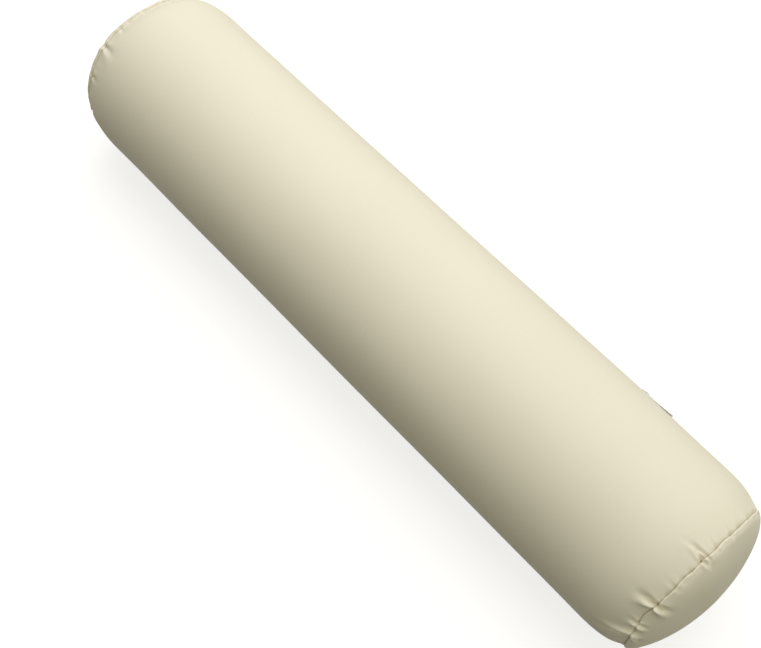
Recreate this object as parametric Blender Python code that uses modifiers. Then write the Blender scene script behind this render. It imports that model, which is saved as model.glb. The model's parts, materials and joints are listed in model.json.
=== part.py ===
"""Round bolster pillow, built the way it is sewn.

A fabric sleeve is rolled into a tube and sewn to two domed end panels.  Its long
seam holds a coil zip with one slider, so the cover comes off the stuffed inner case.

Frame: metres, +X along the pillow, +Z up.  The origin is the middle of the flat that
the stuffed pillow makes on the surface it lies on.
"""

import math

import bmesh
import bpy
from mathutils import Vector

# Driving dimensions, in metres.
RADIUS = 0.079            # stuffed tube, outside of the cover
SEAM_X = 0.330            # middle of the pillow to either end seam
DOME_HEIGHT = 0.025       # end panel's rise beyond its seam
SEAM_RADIUS = 0.071       # where sleeve and end panel meet
ROLL_IN = 0.044           # length over which the sleeve narrows to its end seam
ROLL_POWER = 2.9
DOME_POWER = 1.84         # 2 is an ellipse; less is a little more pointed
ALLOWANCE = 0.008         # fabric turned in at a seam
CLOTH = 0.001             # cover fabric
LINER_CLOTH = 0.0006
GAP = 0.0004              # between two pieces that touch
STEPS = 48                # flats round the cover
INNER_STEPS = 24          # flats round the inner case and its filling
FLAT_HALF_ANGLE = math.radians(22.5)   # half of the arc pressed flat by the pillow's weight
AXIS_HEIGHT = RADIUS * math.cos(FLAT_HALF_ANGLE)

# The zip lies in the long seam, a little above the middle of the +Y side.
ZIP_ANGLE = math.radians(18.75)
OUTER_FACE = RADIUS * math.cos(math.pi / STEPS)   # the cover's flat facet over the zip
SLOT_HALF_LENGTH = 0.226
SLOT_HALF_WIDTH = 0.0055
SEAM_SLIT = 0.0009
CHAIN_GAP = 0.0009        # centre line to the edge of either tape, room for the slider's neck
TAPE_HALF_LENGTH = 0.222
TAPE_THICKNESS = 0.0005
TAPE_LEVEL = 0.0741       # underside of the tapes, from the pillow's axis
COIL_WIDTH = 0.0025
COIL_HEIGHT = 0.0016
COIL_LEVEL = TAPE_LEVEL + TAPE_THICKNESS + 0.0003
THREAD_RADIUS = 0.00025
FINE_THREAD_RADIUS = 0.00015
STITCH_OFFSET = 0.0078    # centre line of the zip to its rows of stitches

# Slider and pull tab.
SLIDER_X = 0.210          # closed
SLIDER_LENGTH = 0.0096
PLATE_THICKNESS = 0.0011
TOP_PLATE_LEVEL = 0.0768
BOTTOM_PLATE_LEVEL = 0.0727
NECK_WIDTH = 0.0012
ARCH_HALF_LENGTH = 0.0036
ARCH_HEIGHT = 0.0028
ARCH_WALL = 0.00085
ARCH_WIDTH = 0.0022
PIVOT_LEVEL = 0.0789      # pull tab's axis, under the slider's arch
TAB_LENGTH = 0.028
TAB_THICKNESS = 0.0010
TAB_TILT = math.radians(2.1)   # closed, the tab lies on the fabric past the slot

# The inner case keeps clear of the turned-in seams, the floor and the slider.
LINER_INSET = 0.0027
LINER_SEAM_X = SEAM_X - 0.0042
LINER_DOME_RADIUS = 0.062
LINER_FLOOR = CLOTH + 0.0003
LINER_ZIP_LEVEL = BOTTOM_PLATE_LEVEL - 0.0004
FILL_INSET = LINER_INSET + LINER_CLOTH + 0.0005
FILL_FLOOR = LINER_FLOOR + LINER_CLOTH + 0.0004
FILL_ZIP_LEVEL = LINER_ZIP_LEVEL - LINER_CLOTH - 0.0004

PARTS = "bolster_pillow"
CUTTERS = "bolster_cutters"


def clear_scene():
    """Remove everything that is in the scene."""
    for item in list(bpy.data.objects):
        bpy.data.objects.remove(item, do_unlink=True)


def collection(name):
    """The named collection, made at its first use."""
    found = bpy.data.collections.get(name)
    if found is None:
        found = bpy.data.collections.new(name)
        bpy.context.scene.collection.children.link(found)
    return found


def material(name, colour, roughness, metallic=0.0):
    """A Principled material, shared by every piece that names it."""
    found = bpy.data.materials.get(name)
    if found is None:
        found = bpy.data.materials.new(name)
        found.use_nodes = True
        shader = found.node_tree.nodes["Principled BSDF"]
        shader.inputs["Base Color"].default_value = (*colour, 1.0)
        shader.inputs["Roughness"].default_value = roughness
        shader.inputs["Metallic"].default_value = metallic
    return found


def cover_fabric():
    return material("cover_fabric", (0.80, 0.76, 0.60), 0.7)


def sewing_thread():
    return material("sewing_thread", (0.72, 0.68, 0.53), 0.6)


def liner_fabric():
    return material("liner_fabric", (0.86, 0.86, 0.84), 0.85)


def fibre_fill():
    return material("fibre_fill", (0.92, 0.92, 0.90), 0.95)


def zip_fabric():
    return material("zip_tape", (0.74, 0.70, 0.55), 0.75)


def zip_plastic():
    return material("zip_coil", (0.70, 0.66, 0.52), 0.4)


def zip_metal():
    return material("zip_metal", (0.45, 0.44, 0.42), 0.35, 1.0)


def add_object(name, data, surface, parent=None):
    """Put a piece's mesh or curve in the parts collection."""
    piece = bpy.data.objects.new(name, data)
    collection(PARTS).objects.link(piece)
    if surface is not None:
        piece.data.materials.append(surface)
    piece.parent = parent
    return piece


def evaluated_mesh(source):
    """The mesh that an object's modifiers or curve settings give, as new data."""
    bpy.context.view_layer.update()
    graph = bpy.context.evaluated_depsgraph_get()
    return bpy.data.meshes.new_from_object(source.evaluated_get(graph), depsgraph=graph)


# ---------------------------------------------------------------- turned fabric

def tube_radius(x, inset=0.0):
    """Radius of the stuffed tube at a distance from its middle."""
    along = max(0.0, (abs(x) - (SEAM_X - ROLL_IN)) / ROLL_IN)
    return RADIUS - inset - (RADIUS - SEAM_RADIUS) * along ** ROLL_POWER


def half_tube(end_x, inset, rings):
    """(x, r) points from the start of the roll-in to the seam."""
    start = SEAM_X - ROLL_IN
    xs = [start + (end_x - start) * i / rings for i in range(rings + 1)]
    return [(x, tube_radius(x, inset)) for x in xs]


def dome(start_x, radius, height, rings):
    """(x, r) points of a dome from its rim to its tip on the axis."""
    points = []
    for i in range(rings):
        turn = i / rings * math.pi / 2
        points.append((
            start_x + height * math.sin(turn) ** (2 / DOME_POWER),
            radius * math.cos(turn) ** (2 / DOME_POWER),
        ))
    points.append((start_x + height, 0.0))
    return points


def turned(name, profile, steps):
    """Mesh of (x, r) points turned about the pillow's axis.

    The profile runs from its +X end to its -X end, which faces the surface outwards.
    """
    line = bpy.data.meshes.new(name)
    verts = [(r, 0.0, x) for x, r in profile]
    line.from_pydata(verts, [(i, i + 1) for i in range(len(verts) - 1)], [])
    blank = bpy.data.objects.new(name + "_profile", line)
    collection(PARTS).objects.link(blank)
    screw = blank.modifiers.new("turn", "SCREW")
    screw.axis = "Z"
    screw.steps = steps
    screw.render_steps = steps
    screw.use_merge_vertices = True
    screw.merge_threshold = 0.0001
    mesh = evaluated_mesh(blank)
    bpy.data.objects.remove(blank)
    bpy.data.meshes.remove(line)
    # the turning axis becomes the pillow's X axis, at its height above the surface
    for vertex in mesh.vertices:
        radial, side, along = vertex.co
        vertex.co = (along, side, AXIS_HEIGHT - radial)
    return mesh


def press(mesh, floor, zip_level=None):
    """Press a turned mesh flat on the surface below and under the zip."""
    normal = Vector((0.0, math.cos(ZIP_ANGLE), math.sin(ZIP_ANGLE)))
    axis = Vector((0.0, 0.0, AXIS_HEIGHT))
    for vertex in mesh.vertices:
        vertex.co.z = max(vertex.co.z, floor)
        if zip_level is not None:
            across = Vector((0.0, vertex.co.y, vertex.co.z)) - axis
            over = across.dot(normal) - zip_level
            if over > 0.0:
                vertex.co -= normal * over


def smooth(mesh, degrees=35.0):
    mesh.shade_smooth()
    mesh.set_sharp_from_angle(angle=math.radians(degrees))


def sheet_piece(name, mesh, thickness, surface):
    """A fabric piece: the outer face, thickened inwards."""
    smooth(mesh)
    piece = add_object(name, mesh, surface)
    solidify = piece.modifiers.new("cloth", "SOLIDIFY")
    solidify.thickness = thickness
    solidify.offset = -1.0
    solidify.use_even_offset = True
    return piece


def mirrored_profile(half):
    """A half profile, from the middle outwards, as a whole one from +X to -X."""
    return list(reversed(half)) + [(-x, r) for x, r in half]


def flip_ends(mesh):
    """Turn a +X end piece's mesh into the -X one, half a turn about Z."""
    for vertex in mesh.vertices:
        vertex.co.x = -vertex.co.x
    mesh.flip_normals()


def cutter_box(name, half_size, level, parent):
    """A box cutter in the zip's frame: half sizes, and its middle's level."""
    bpy.ops.mesh.primitive_cube_add(size=2.0)
    box = bpy.context.object
    box.name = name
    for vertex in box.data.vertices:
        vertex.co = (
            vertex.co.x * half_size[0],
            vertex.co.y * half_size[1],
            vertex.co.z * half_size[2] + level,
        )
    for home in list(box.users_collection):
        home.objects.unlink(box)
    collection(CUTTERS).objects.link(box)
    box.parent = parent
    box.hide_render = True
    box.display_type = "WIRE"
    return box


def cut(piece, cutter):
    boolean = piece.modifiers.new(cutter.name, "BOOLEAN")
    boolean.operation = "DIFFERENCE"
    boolean.solver = "EXACT"
    boolean.object = cutter


def cover_sleeve(zip_frame):
    """The rolled tube, open along its long seam, with the zip's slot in the middle."""
    half = half_tube(SEAM_X - GAP / 2, 0.0, 5)
    half.append((SEAM_X - GAP / 2, half[-1][1] - ALLOWANCE))
    mesh = turned("cover_sleeve", mirrored_profile(half), STEPS)
    press(mesh, 0.0)
    sleeve = sheet_piece("cover_sleeve", mesh, CLOTH, cover_fabric())
    slot_depth = 0.003
    slot_size = (SLOT_HALF_LENGTH, SLOT_HALF_WIDTH, slot_depth)
    cut(sleeve, cutter_box("zip_slot", slot_size, OUTER_FACE, zip_frame))
    slit_half_depth = 0.012
    slit_size = (SEAM_X + 0.005, SEAM_SLIT / 2, slit_half_depth)
    slit_level = SEAM_RADIUS
    cut(sleeve, cutter_box("long_seam", slit_size, slit_level, zip_frame))
    return sleeve


def end_panels():
    """The two domed discs, with their seam allowance turned in."""
    start = SEAM_X + GAP / 2
    profile = [(start, SEAM_RADIUS - ALLOWANCE)]
    profile += dome(start, SEAM_RADIUS, SEAM_X + DOME_HEIGHT - start, 6)
    profile.reverse()
    for side in ("right", "left"):
        name = "end_panel_" + side
        mesh = turned(name, profile, STEPS)
        if side == "left":
            flip_ends(mesh)
        sheet_piece(name, mesh, CLOTH, cover_fabric())


def thread_ring(name, x, radius, thickness, steps):
    """A line of thread that runs once round the pillow."""
    bpy.ops.mesh.primitive_torus_add(
        major_segments=steps, minor_segments=5, major_radius=radius, minor_radius=thickness
    )
    ring = bpy.context.object
    mesh = ring.data.copy()
    bpy.data.objects.remove(ring)
    for vertex in mesh.vertices:
        radial, side, along = vertex.co
        vertex.co = (x + along, side, AXIS_HEIGHT - radial)
    mesh.shade_smooth()
    return add_object(name, mesh, sewing_thread())


def end_seam_threads():
    """The thread lies in the crease between the sleeve and either end panel."""
    crease = SEAM_RADIUS + 0.0006
    thread_ring("end_seam_thread_right", SEAM_X, crease, THREAD_RADIUS, STEPS)
    thread_ring("end_seam_thread_left", -SEAM_X, crease, THREAD_RADIUS, STEPS)


# ---------------------------------------------------------------- inner case

def liner():
    """The inner case that holds the filling: a tube and two ends, sewn like the cover."""
    half = half_tube(LINER_SEAM_X, LINER_INSET, 3)
    mesh = turned("liner_sleeve", mirrored_profile(half), INNER_STEPS)
    press(mesh, LINER_FLOOR, LINER_ZIP_LEVEL)
    sheet_piece("liner_sleeve", mesh, LINER_CLOTH, liner_fabric())

    rim_x = LINER_SEAM_X + 0.0008
    rim_radius = half[-1][1] - 0.0006
    dome_x = SEAM_X - 0.0018
    profile = [(rim_x, rim_radius)]
    profile += dome(dome_x, LINER_DOME_RADIUS, DOME_HEIGHT - 0.0012, 4)
    profile.reverse()
    for side in ("right", "left"):
        name = "liner_end_" + side
        mesh = turned(name, profile, INNER_STEPS)
        if side == "left":
            flip_ends(mesh)
        sheet_piece(name, mesh, LINER_CLOTH, liner_fabric())

    ring_x = (LINER_SEAM_X + rim_x) / 2
    ring_radius = half[-1][1] + 0.0003
    thread_ring("liner_thread_right", ring_x, ring_radius, FINE_THREAD_RADIUS, INNER_STEPS)
    thread_ring("liner_thread_left", -ring_x, ring_radius, FINE_THREAD_RADIUS, INNER_STEPS)


def filling():
    """The stuffing, one soft mass that fills the inner case."""
    end_x = LINER_SEAM_X - 0.0010
    half = half_tube(end_x, FILL_INSET, 3)
    tip = SEAM_X + DOME_HEIGHT - 0.0044
    dome_x = SEAM_X - 0.0032
    half += dome(dome_x, LINER_DOME_RADIUS - 0.0012, tip - dome_x, 4)
    mesh = turned("fibre_filling", mirrored_profile(half), INNER_STEPS)
    press(mesh, FILL_FLOOR, FILL_ZIP_LEVEL)
    smooth(mesh)
    return add_object("fibre_filling", mesh, fibre_fill())


# ---------------------------------------------------------------- zip

def zip_empty():
    """The zip's frame: X along the pillow, Z out of the fabric, Y down its side."""
    frame = bpy.data.objects.new("zip_frame", None)
    collection(PARTS).objects.link(frame)
    frame.location = (0.0, 0.0, AXIS_HEIGHT)
    frame.rotation_euler = (ZIP_ANGLE - math.pi / 2, 0.0, 0.0)
    return frame


def outline_mesh(name, outlines, thickness):
    """A flat outline, or one with holes, given a thickness about its own plane."""
    curve = bpy.data.curves.new(name, "CURVE")
    curve.dimensions = "2D"
    curve.fill_mode = "BOTH"
    curve.extrude = thickness / 2
    for outline in outlines:
        spline = curve.splines.new("POLY")
        spline.points.add(len(outline) - 1)
        for point, (x, y) in zip(spline.points, outline):
            point.co = (x, y, 0.0, 1.0)
        spline.use_cyclic_u = True
    blank = bpy.data.objects.new(name + "_outline", curve)
    collection(PARTS).objects.link(blank)
    mesh = evaluated_mesh(blank)
    bpy.data.objects.remove(blank)
    bpy.data.curves.remove(curve)
    bm = bmesh.new()
    bm.from_mesh(mesh)
    bmesh.ops.remove_doubles(bm, verts=bm.verts, dist=0.00001)
    bmesh.ops.recalc_face_normals(bm, faces=bm.faces)
    bm.to_mesh(mesh)
    bm.free()
    return mesh


def section_mesh(name, section, start_x, end_x):
    """A (y, z) section drawn out along X."""
    mesh = outline_mesh(name, [section], end_x - start_x)
    middle = (start_x + end_x) / 2
    for vertex in mesh.vertices:
        y, z, x = vertex.co
        vertex.co = (x + middle, y, z)
    mesh.update()
    return mesh


def box_section(y0, y1, z0, z1):
    return [(y0, z0), (y1, z0), (y1, z1), (y0, z1)]


def tape_section(side):
    """A tape lies flat under the coil, then climbs to the underside of the fabric."""
    flat_edge = 0.0046
    lip = 0.0072
    outer_edge = 0.0135
    lip_level = 0.0767
    edge_level = 0.0758
    under = [
        (CHAIN_GAP, TAPE_LEVEL),
        (flat_edge, TAPE_LEVEL),
        (lip, lip_level),
        (outer_edge, edge_level),
    ]
    over = [(y, z + TAPE_THICKNESS) for y, z in under]
    # the climbing stretch keeps its thickness square to its slope
    over[1] = (flat_edge - 0.0003, over[1][1])
    over[2] = (lip - 0.0003, over[2][1])
    return [(side * y, z) for y, z in under + over[::-1]]


def zip_chain(frame):
    """Tapes, coils and stops; the upper side of the zip is at -Y in its frame."""
    coil_end = SLIDER_X + SLIDER_LENGTH / 2 + 0.0006
    stop_level = COIL_LEVEL + 0.0018
    for side, label in ((-1, "upper"), (1, "lower")):
        tape = section_mesh("tape", tape_section(side), -TAPE_HALF_LENGTH, TAPE_HALF_LENGTH)
        add_object("zip_tape_" + label, tape, zip_fabric(), frame)
        inner = side * CHAIN_GAP
        outer = side * (CHAIN_GAP + COIL_WIDTH)
        coil = section_mesh(
            "coil",
            box_section(inner, outer, COIL_LEVEL, COIL_LEVEL + COIL_HEIGHT),
            -coil_end + 0.0014,
            coil_end,
        )
        add_object("zip_coil_" + label, coil, zip_plastic(), frame)
        stop = section_mesh(
            "stop",
            box_section(inner, outer + side * 0.0003, COIL_LEVEL, stop_level),
            coil_end + 0.0003,
            coil_end + 0.0033,
        )
        add_object("zip_top_stop_" + label, stop, zip_metal(), frame)
    edge = CHAIN_GAP + COIL_WIDTH + 0.0003
    stop = section_mesh(
        "stop", box_section(-edge, edge, COIL_LEVEL, stop_level), -coil_end - 0.0022, -coil_end + 0.0011
    )
    add_object("zip_bottom_stop", stop, zip_metal(), frame)


def union(pieces, name):
    """Join overlapping meshes into the first one's body."""
    base = bpy.data.objects.new(name + "_base", pieces[0])
    collection(CUTTERS).objects.link(base)
    added = []
    for number, mesh in enumerate(pieces[1:]):
        tool = bpy.data.objects.new(f"{name}_{number}", mesh)
        collection(CUTTERS).objects.link(tool)
        boolean = base.modifiers.new(tool.name, "BOOLEAN")
        boolean.operation = "UNION"
        boolean.solver = "EXACT"
        boolean.object = tool
        added.append(tool)
    mesh = evaluated_mesh(base)
    for item in [base] + added:
        bpy.data.objects.remove(item)
    return mesh


def plate_outline(front, tail):
    """A slider plate: broad shoulders at its front, narrower at its tail."""
    half = SLIDER_LENGTH / 2
    side = [
        (half, 0.0016),
        (half - 0.0008, front - 0.0006),
        (half - 0.0020, front),
        (-half * 0.3, tail),
        (-half + 0.0008, tail),
        (-half, tail - 0.0008),
    ]
    return side + [(x, -y) for x, y in reversed(side)]


def raised(mesh, level):
    """Lift a flat outline's mesh so that its underside is at a level."""
    low = min(vertex.co.z for vertex in mesh.vertices)
    for vertex in mesh.vertices:
        vertex.co.z += level - low
    return mesh


def arch_outline():
    """Side view of the slider's arch, (x, height) from just inside the top plate."""
    foot = -0.0002
    shoulder = ARCH_HALF_LENGTH - 0.0009
    outer = [
        (ARCH_HALF_LENGTH, foot),
        (ARCH_HALF_LENGTH, ARCH_HEIGHT - 0.0009),
        (shoulder, ARCH_HEIGHT),
    ]
    inner = [
        (ARCH_HALF_LENGTH - ARCH_WALL, foot),
        (ARCH_HALF_LENGTH - ARCH_WALL, ARCH_HEIGHT - 0.0012),
        (shoulder - 0.0003, ARCH_HEIGHT - ARCH_WALL),
    ]
    left_outer = [(-x, z) for x, z in reversed(outer)]
    left_inner = [(-x, z) for x, z in inner]
    return outer + left_outer + left_inner + inner[::-1]


def zip_slider(frame):
    """Top and bottom plates on a neck, side flanges that guide the coils, and the arch."""
    top_level = TOP_PLATE_LEVEL
    top = raised(outline_mesh("top", [plate_outline(0.0047, 0.0040)], PLATE_THICKNESS), top_level)
    bottom_outline = plate_outline(0.0045, 0.0037)
    bottom = raised(
        outline_mesh("bottom", [bottom_outline], PLATE_THICKNESS), BOTTOM_PLATE_LEVEL
    )
    neck = section_mesh(
        "neck",
        box_section(-NECK_WIDTH / 2, NECK_WIDTH / 2, BOTTOM_PLATE_LEVEL + 0.0005, top_level + 0.0005),
        SLIDER_LENGTH / 2 - 0.0026,
        SLIDER_LENGTH / 2 - 0.0003,
    )
    flanges = []
    for side in (-1, 1):
        flange = section_mesh(
            "flange",
            box_section(side * 0.0037, side * 0.0043, top_level - 0.0010, top_level + 0.0004),
            -SLIDER_LENGTH / 2 + 0.0014,
            SLIDER_LENGTH / 2 - 0.0017,
        )
        flanges.append(flange)
    arch = outline_mesh("arch", [arch_outline()], ARCH_WIDTH)
    for vertex in arch.vertices:
        x, z, y = vertex.co
        vertex.co = (x, -y, z + top_level + PLATE_THICKNESS)
    mesh = union([top, bottom, neck] + flanges + [arch], "zip_slider")
    # the slider's origin is on the pull tab's axis
    for vertex in mesh.vertices:
        vertex.co.z -= PIVOT_LEVEL
    smooth(mesh, 30.0)
    slider = add_object("zip_slider", mesh, zip_metal(), frame)
    slider.location = (SLIDER_X, 0.0, PIVOT_LEVEL)
    return slider


def tab_outline():
    """The tab's outer edge: a straight-sided eye, a slim waist and a round tip."""
    eye = 0.0031
    waist = 0.0021
    tip = 0.0027
    tip_x = TAB_LENGTH - tip
    side = [(-TAB_THICKNESS / 2, eye), (0.0052, eye), (0.0078, waist), (0.0160, tip)]
    turns = 4
    for i in range(turns + 1):
        turn = math.pi / 2 * (1 - i / turns)
        side.append((tip_x + tip * math.cos(turn), tip * math.sin(turn)))
    return side + [(x, -y) for x, y in reversed(side[:-1])]


def zip_pull_tab(slider):
    """The tab turns on the bar of its eye, which runs under the slider's arch."""
    eye_start = TAB_THICKNESS / 2
    eye_end = 0.0046
    eye_half = 0.0016
    eye = [(eye_start, -eye_half), (eye_start, eye_half), (eye_end, eye_half), (eye_end, -eye_half)]
    mesh = outline_mesh("tab", [tab_outline(), eye], TAB_THICKNESS)
    smooth(mesh, 30.0)
    tab = add_object("zip_pull_tab", mesh, zip_metal(), slider)
    tab.rotation_euler = (0.0, -TAB_TILT, 0.0)
    return tab


def thread_line(name, points, radius, frame):
    """A straight or gently bent run of thread, as a solid with closed ends."""
    curve = bpy.data.curves.new(name, "CURVE")
    curve.dimensions = "3D"
    curve.bevel_depth = radius
    curve.bevel_resolution = 1
    curve.use_fill_caps = True
    spline = curve.splines.new("POLY")
    spline.points.add(len(points) - 1)
    for point, place in zip(spline.points, points):
        point.co = (*place, 1.0)
    return add_object(name, curve, sewing_thread(), frame)


def zip_threads(frame):
    """A row of stitches beside the zip on either side, and the long seam past its ends."""
    half_facet = math.pi / STEPS
    beyond = SLOT_HALF_LENGTH - 0.001
    # the stitches lie on the facet next to the one that the slot is in
    corner = RADIUS * math.sin(half_facet)
    fall = math.tan(2 * half_facet) * (STITCH_OFFSET - corner)
    level = OUTER_FACE - fall + 0.0004 + FINE_THREAD_RADIUS
    for side, label in ((-1, "upper"), (1, "lower")):
        ends = [(-beyond, side * STITCH_OFFSET, level), (beyond, side * STITCH_OFFSET, level)]
        thread_line("zip_stitching_" + label, ends, FINE_THREAD_RADIUS, frame)
    start = SLOT_HALF_LENGTH + 0.0015
    end = SEAM_X - 0.004
    roll_start = SEAM_X - ROLL_IN
    rings = 4
    xs = [start] + [roll_start + (end - roll_start) * i / rings for i in range(rings + 1)]
    for side, label in ((1, "right"), (-1, "left")):
        points = [(side * x, 0.0, tube_radius(x) * math.cos(half_facet) - 0.0005) for x in xs]
        thread_line("long_seam_thread_" + label, points, FINE_THREAD_RADIUS, frame)


def build():
    clear_scene()
    frame = zip_empty()
    cover_sleeve(frame)
    end_panels()
    end_seam_threads()
    liner()
    filling()
    zip_chain(frame)
    slider = zip_slider(frame)
    zip_pull_tab(slider)
    zip_threads(frame)


build()
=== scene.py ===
"""Looks of the round bolster pillow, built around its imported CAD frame.

The cover is a fabric strip rolled round the filling and sewn to two domed end panels.
Its shape comes from a cloth simulation of the stuffed casing, with the seams, the
gathers beside them and the zip worked in afterwards.  Metres throughout, +X along the
pillow, +Z up.  "angle" is an angle about the pillow's axis, from +Y towards +Z.
"""

import json
import math
from dataclasses import dataclass

import bpy
import numpy as np
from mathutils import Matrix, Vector


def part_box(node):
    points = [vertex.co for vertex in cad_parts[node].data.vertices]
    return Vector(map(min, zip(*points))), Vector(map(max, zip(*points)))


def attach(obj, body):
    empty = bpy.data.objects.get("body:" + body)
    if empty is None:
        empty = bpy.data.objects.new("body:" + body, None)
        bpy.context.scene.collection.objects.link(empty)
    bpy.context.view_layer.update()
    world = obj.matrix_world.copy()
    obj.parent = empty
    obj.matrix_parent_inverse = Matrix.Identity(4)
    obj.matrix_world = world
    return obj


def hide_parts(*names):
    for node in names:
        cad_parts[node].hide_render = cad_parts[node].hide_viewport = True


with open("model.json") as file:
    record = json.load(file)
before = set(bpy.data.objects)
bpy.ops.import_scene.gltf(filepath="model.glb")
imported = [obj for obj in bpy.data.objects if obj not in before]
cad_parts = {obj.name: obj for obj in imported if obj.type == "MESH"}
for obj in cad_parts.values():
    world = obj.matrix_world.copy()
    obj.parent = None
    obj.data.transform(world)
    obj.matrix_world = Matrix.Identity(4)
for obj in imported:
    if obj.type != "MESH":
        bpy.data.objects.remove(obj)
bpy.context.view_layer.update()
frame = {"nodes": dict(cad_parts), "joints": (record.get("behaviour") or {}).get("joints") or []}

MM = 0.001

# ---------------- sizes, from the frame

SLEEVE_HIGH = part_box("cover_sleeve")[1]
PANEL_LOW, PANEL_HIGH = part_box("end_panel_right")
RADIUS = SLEEVE_HIGH.y
AXIS_HEIGHT = SLEEVE_HIGH.z - RADIUS
SEAM_X = (SLEEVE_HIGH.x + PANEL_LOW.x) / 2
SEAM_RADIUS = PANEL_HIGH.y
DOME_HEIGHT = PANEL_HIGH.x - SEAM_X
ROLL_IN = 44 * MM             # length over which the sleeve narrows to its end seam
ROLL_POWER = 2.9
DOME_POWER = 1.84             # 2 is an ellipse; less is a little more pointed
CLOTH = 0.5 * MM

HINGE = next(joint for joint in frame["joints"] if joint["name"] == "pull_tab_hinge")
ZIP_ANGLE = math.atan2(-HINGE["axis"][1], HINGE["axis"][2])
ZIP_HALF_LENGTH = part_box("zip_stitching_upper")[1].x
TAPE_HALF_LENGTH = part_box("zip_tape_upper")[1].x
COIL_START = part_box("zip_coil_upper")[0].x
COIL_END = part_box("zip_coil_upper")[1].x
LIP = 5.2 * MM                # from the zip's middle to the fabric's folded edge
TOPSTITCH = 7.8 * MM          # and to the row of stitches
SLOT_CLOSE_START = TAPE_HALF_LENGTH - 3.5 * MM   # the two folded edges start to meet here
SLOT_CLOSING = 9 * MM         # and have met this far on
CLOSED_GAP = 0.04 * MM        # half of what is left between them there
STITCH_PITCH = 2.9 * MM
THREAD = 0.2 * MM             # radius
STITCHES_ROUND = round(2 * math.pi * SEAM_RADIUS / STITCH_PITCH)
ALLOWANCE = (5 * MM, 1.5 * MM)   # depths of the two rows that are turned in at an end seam
ALLOWANCE_APART = 0.2 * MM    # from the seam to each fabric's turned-in rows

RNG = np.random.RandomState(41)

# ---------------- shader helpers


def new_material(name, colour, roughness, metallic=0.0, **sockets):
    """A Principled material; the sockets named by keyword take one value all over."""
    material = bpy.data.materials.new(name)
    material.use_nodes = True
    shader = material.node_tree.nodes["Principled BSDF"]
    shader.inputs["Base Color"].default_value = (*colour, 1.0)
    shader.inputs["Roughness"].default_value = roughness
    shader.inputs["Metallic"].default_value = metallic
    for socket, value in sockets.items():
        shader.inputs[socket.replace("_", " ")].default_value = value
    return material, material.node_tree, shader


def feed(tree, source, target):
    tree.links.new(source, target)


def math_node(tree, operation, a, b=None, c=None):
    """A Math node on sockets or plain numbers; returns its result's socket."""
    node = tree.nodes.new("ShaderNodeMath")
    node.operation = operation
    for slot, value in enumerate((a, b, c)):
        if value is None:
            continue
        if isinstance(value, (int, float)):
            node.inputs[slot].default_value = value
        else:
            feed(tree, value, node.inputs[slot])
    return node.outputs[0]


def cloth_coordinates(tree, stretch=(1.0, 1.0)):
    """The fabric's own coordinates, in metres before they are stretched."""
    uv = tree.nodes.new("ShaderNodeUVMap")
    uv.uv_map = "cloth"
    mapping = tree.nodes.new("ShaderNodeMapping")
    mapping.inputs["Scale"].default_value = (stretch[0], stretch[1], 1.0)
    feed(tree, uv.outputs["UV"], mapping.inputs["Vector"])
    return mapping.outputs["Vector"]


def place_coordinates(tree):
    return tree.nodes.new("ShaderNodeTexCoord").outputs["Object"]


def noise(tree, vector, scale, detail=3.0, roughness=0.5):
    node = tree.nodes.new("ShaderNodeTexNoise")
    node.inputs["Scale"].default_value = scale
    node.inputs["Detail"].default_value = detail
    node.inputs["Roughness"].default_value = roughness
    feed(tree, vector, node.inputs["Vector"])
    return node.outputs["Fac"]


def remap(tree, value, low, high, start=0.3, end=0.7):
    node = tree.nodes.new("ShaderNodeMapRange")
    node.inputs["From Min"].default_value = start
    node.inputs["From Max"].default_value = end
    node.inputs["To Min"].default_value = low
    node.inputs["To Max"].default_value = high
    feed(tree, value, node.inputs["Value"])
    return node.outputs["Result"]


def tint(tree, shader, factor):
    """Multiply the shader's own colour by a grey factor."""
    node = tree.nodes.new("ShaderNodeVectorMath")
    node.operation = "SCALE"
    node.inputs[0].default_value = shader.inputs["Base Color"].default_value[:3]
    feed(tree, factor, node.inputs["Scale"])
    feed(tree, node.outputs["Vector"], shader.inputs["Base Color"])


def bump(tree, shader, height, distance, strength=1.0):
    node = tree.nodes.new("ShaderNodeBump")
    node.inputs["Strength"].default_value = strength
    node.inputs["Distance"].default_value = distance
    feed(tree, height, node.inputs["Height"])
    feed(tree, node.outputs["Normal"], shader.inputs["Normal"])


def weave_height(tree, pitch):
    """Over-and-under threads of a plain weave, 0 to 1."""
    uv = cloth_coordinates(tree, (math.pi / pitch, math.pi / pitch))
    split = tree.nodes.new("ShaderNodeSeparateXYZ")
    feed(tree, uv, split.inputs[0])
    warp = math_node(tree, "SINE", split.outputs["X"])
    weft = math_node(tree, "SINE", split.outputs["Y"])
    crossing = math_node(tree, "MULTIPLY", warp, weft)
    return math_node(tree, "MULTIPLY_ADD", crossing, 0.5, 0.5)


def woven(name, colour, roughness, pitch, depth, variation, **sockets):
    """A plain-woven cloth: its weave, uneven threads, and broad and fine tone changes."""
    material, tree, shader = new_material(name, colour, roughness, **sockets)
    weave = weave_height(tree, pitch)
    warp_slub = noise(tree, cloth_coordinates(tree, (45.0, 1500.0)), 1.0, 2.0)
    weft_slub = noise(tree, cloth_coordinates(tree, (1500.0, 45.0)), 1.0, 2.0)
    slub = math_node(tree, "ADD", warp_slub, weft_slub)
    broad = noise(tree, place_coordinates(tree), 9.0, 2.0)
    tone = remap(tree, broad, 1.0 - variation, 1.0 + variation)
    thread_tone = remap(tree, slub, 1.0 - variation, 1.0 + variation, 0.7, 1.3)
    factor = math_node(tree, "MULTIPLY", tone, thread_tone)
    tint(tree, shader, factor)
    feed(tree, remap(tree, slub, roughness - 0.06, roughness + 0.06, 0.7, 1.3),
         shader.inputs["Roughness"])
    height = math_node(tree, "MULTIPLY_ADD", slub, 0.6, weave)
    bump(tree, shader, height, depth, 0.6)
    return material


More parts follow.
